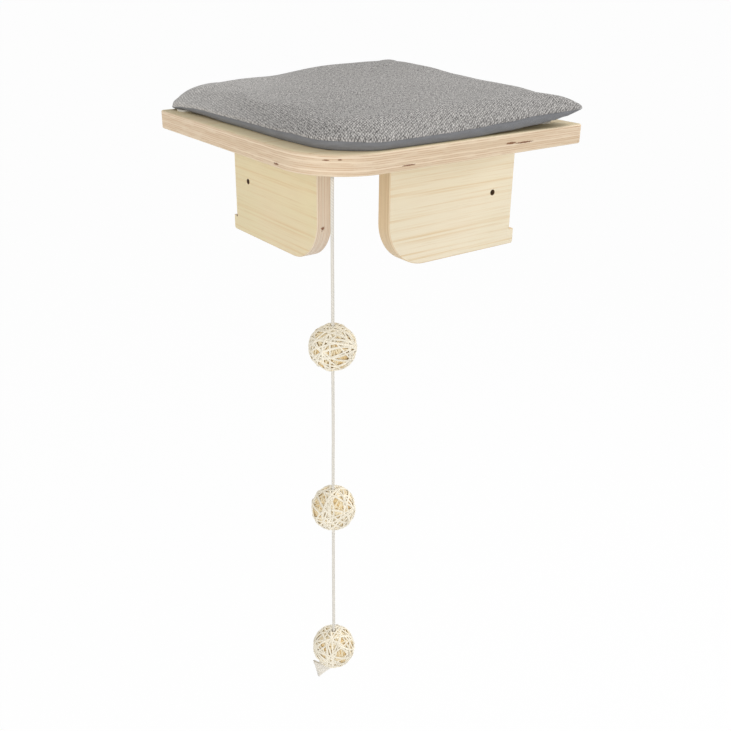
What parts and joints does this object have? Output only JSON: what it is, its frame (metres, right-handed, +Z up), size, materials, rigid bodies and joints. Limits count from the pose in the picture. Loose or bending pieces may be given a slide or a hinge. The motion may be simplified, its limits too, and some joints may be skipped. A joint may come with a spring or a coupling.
{
  "type": "wall-mounted cat platform",
  "caption": "Corner-mounted plywood cat perch with rounded front, notched bracket boards, a soft crowned pad and a hanging cord of wound play balls.",
  "frame": {"origin": "where the two room walls meet, at the height of the board's underside", "axes": "+Z up; +Y towards the wall behind the left bracket and +X towards the wall behind the right bracket, so the object lies at negative X and Y"},
  "size_m": [0.3, 0.3, 0.6022],
  "materials": {
    "plywood": "clear matt varnish",
    "screw_steel": "zinc plated",
    "coin_fabric": "looped and hooked pile",
    "pad_weave": "matt waffle weave",
    "pad_band": "matt plain weave",
    "pad_foam": "open foam",
    "pad_base": "matt plain weave",
    "cord_cotton": "matt cotton",
    "ball_core": "matt wound fibre",
    "ball_strand": "matt paper or cotton strand"
  },
  "bodies": {
    "frame": {"platform_board": "plywood", "left_bracket": "plywood", "right_bracket": "plywood", "left_bracket_screw_rear": "screw_steel", "left_bracket_screw_front": "screw_steel", "right_bracket_screw_rear": "screw_steel", "right_bracket_screw_front": "screw_steel", "loop_coin_left": "coin_fabric", "loop_coin_right": "coin_fabric", "loop_coin_back": "coin_fabric", "loop_coin_front": "coin_fabric", "cord_stem": "cord_cotton", "cord_anchor_knot": "cord_cotton"},
    "pad": {"pad_top_panel": "pad_weave", "pad_side_band": "pad_band", "pad_foam": "pad_foam", "pad_base_panel": "pad_base", "hook_coin_left": "coin_fabric", "hook_coin_right": "coin_fabric", "hook_coin_back": "coin_fabric", "hook_coin_front": "coin_fabric"},
    "neck": {"cord_neck": "cord_cotton"},
    "upper_cord": {"cord_upper": "cord_cotton", "stop_knot_upper": "cord_cotton"},
    "upper_ball": {"ball_upper_core": "ball_core", "ball_upper_winding": "ball_strand"},
    "middle_cord": {"cord_middle": "cord_cotton", "stop_knot_middle": "cord_cotton"},
    "middle_ball": {"ball_middle_core": "ball_core", "ball_middle_winding": "ball_strand"},
    "lower_cord": {"cord_lower": "cord_cotton", "stop_knot_lower": "cord_cotton", "frayed_tail": "cord_cotton"},
    "lower_ball": {"ball_lower_core": "ball_core", "ball_lower_winding": "ball_strand"}
  },
  "joints": [
    {"name": "pad_lift", "type": "slide", "parent": "frame", "child": "pad", "axis": [0, 0, 1], "range_m": [0, 0.06]},
    {"name": "cord_swing_side", "type": "hinge", "parent": "frame", "child": "neck", "pos_m": [-0.2663, -0.2641, -0.002], "axis": [1, 0, 0], "range_deg": [-25, 25]},
    {"name": "cord_swing_front", "type": "hinge", "parent": "neck", "child": "upper_cord", "pos_m": [-0.2663, -0.2641, -0.01], "axis": [0, 1, 0], "range_deg": [-25, 25]},
    {"name": "upper_ball_spin", "type": "hinge", "parent": "upper_cord", "child": "upper_ball", "pos_m": [-0.2663, -0.2641, -0.1615], "axis": [0, 0, 1], "continuous": true},
    {"name": "middle_cord_bend", "type": "hinge", "parent": "upper_cord", "child": "middle_cord", "pos_m": [-0.2663, -0.2641, -0.188], "axis": [1, 0, 0], "range_deg": [-35, 35]},
    {"name": "middle_ball_spin", "type": "hinge", "parent": "middle_cord", "child": "middle_ball", "pos_m": [-0.2663, -0.2641, -0.3345], "axis": [0, 0, 1], "continuous": true},
    {"name": "lower_cord_bend", "type": "hinge", "parent": "middle_cord", "child": "lower_cord", "pos_m": [-0.2663, -0.2641, -0.361], "axis": [0, 1, 0], "range_deg": [-35, 35]},
    {"name": "lower_ball_spin", "type": "hinge", "parent": "lower_cord", "child": "lower_ball", "pos_m": [-0.2663, -0.2641, -0.5095], "axis": [0, 0, 1], "continuous": true}
  ]
}
